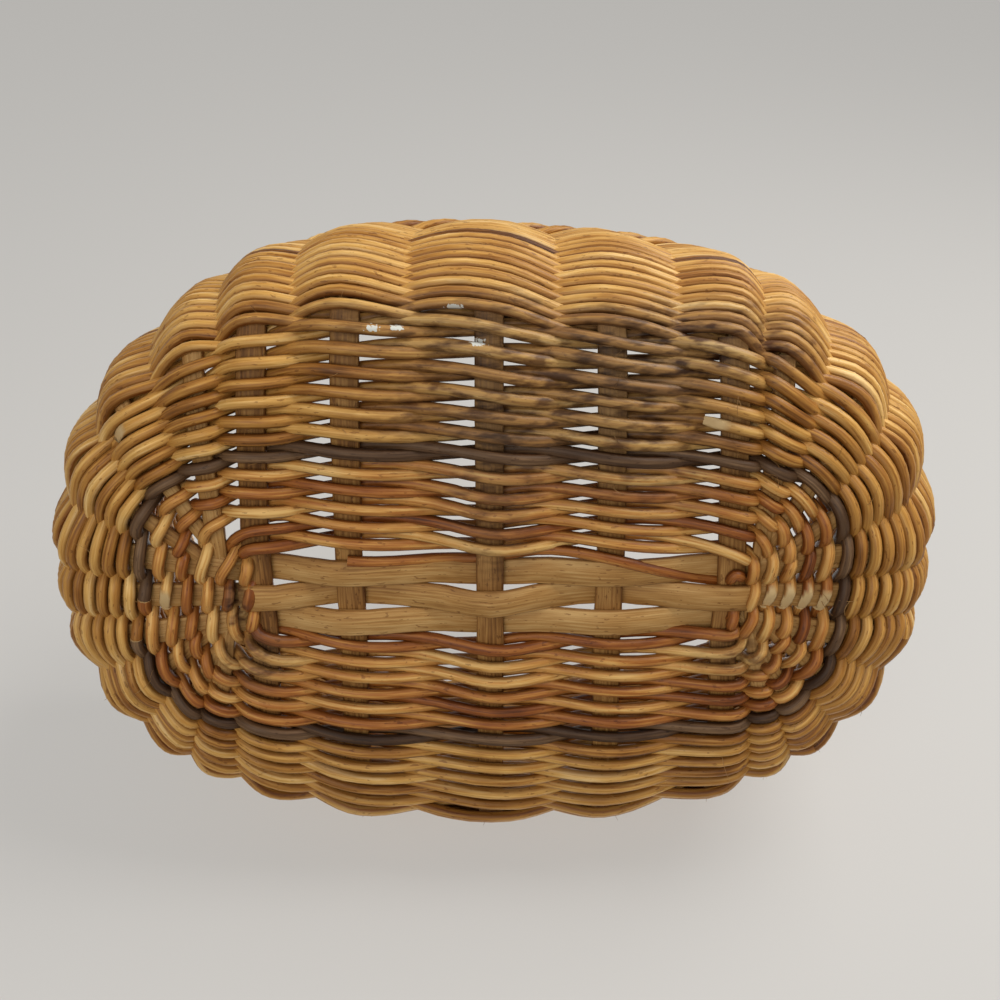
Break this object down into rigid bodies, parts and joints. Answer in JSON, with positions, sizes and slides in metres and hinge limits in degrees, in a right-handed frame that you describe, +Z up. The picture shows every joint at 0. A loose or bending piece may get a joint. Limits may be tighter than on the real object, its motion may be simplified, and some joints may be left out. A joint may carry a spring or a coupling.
{
  "type": "pie basket",
  "caption": "Low oval wicker basket for a pie: woven rod base on a frame of flat sticks, rounded sides twined over upright stakes, rolled rim, open top",
  "frame": {"origin": "on the ground under the middle of the base, at the bottom centre of the basket's box", "axes": "+Z up out of the open top, +X along the oval's long axis, +Y across it"},
  "size_m": [0.3926, 0.2918, 0.1444],
  "materials": {
    "flat_stick_wood": "bare, worn grain",
    "brown_rod": "varnished willow rod",
    "dark_rod": "dark stained rod",
    "tan_rod": "varnished willow rod",
    "stake_wood": "peeled rod"
  },
  "bodies": {
    "root": {"long_stick_front": "flat_stick_wood", "long_stick_middle": "flat_stick_wood", "long_stick_back": "flat_stick_wood", "short_stick_1": "flat_stick_wood", "short_stick_2": "flat_stick_wood", "short_stick_3": "flat_stick_wood", "short_stick_4": "flat_stick_wood", "short_stick_5": "flat_stick_wood", "corner_stick_1": "flat_stick_wood", "corner_stick_2": "flat_stick_wood", "corner_stick_3": "flat_stick_wood", "corner_stick_4": "flat_stick_wood", "fan_stick_1": "flat_stick_wood", "fan_stick_2": "flat_stick_wood", "fan_stick_3": "flat_stick_wood", "fan_stick_4": "flat_stick_wood", "fan_stick_5": "flat_stick_wood", "fan_stick_6": "flat_stick_wood", "fan_stick_7": "flat_stick_wood", "fan_stick_8": "flat_stick_wood", "inner_base_weaver_a": "brown_rod", "inner_base_weaver_b": "brown_rod", "dark_base_weaver_a": "dark_rod", "dark_base_weaver_b": "dark_rod", "outer_base_weaver_a": "tan_rod", "outer_base_weaver_b": "tan_rod", "upsett_weave": "tan_rod", "belly_weave": "tan_rod", "upper_weave": "tan_rod", "rim_border": "tan_rod", "stake_01": "stake_wood", "stake_02": "stake_wood", "stake_03": "stake_wood", "stake_04": "stake_wood", "stake_05": "stake_wood", "stake_06": "stake_wood", "stake_07": "stake_wood", "stake_08": "stake_wood", "stake_09": "stake_wood", "stake_10": "stake_wood", "stake_11": "stake_wood", "stake_12": "stake_wood", "stake_13": "stake_wood", "stake_14": "stake_wood", "stake_15": "stake_wood", "stake_16": "stake_wood", "stake_17": "stake_wood", "stake_18": "stake_wood", "stake_19": "stake_wood", "stake_20": "stake_wood", "stake_21": "stake_wood", "stake_22": "stake_wood", "stake_23": "stake_wood", "stake_24": "stake_wood", "stake_25": "stake_wood", "stake_26": "stake_wood", "stake_27": "stake_wood", "stake_28": "stake_wood"}
  },
  "joints": []
}
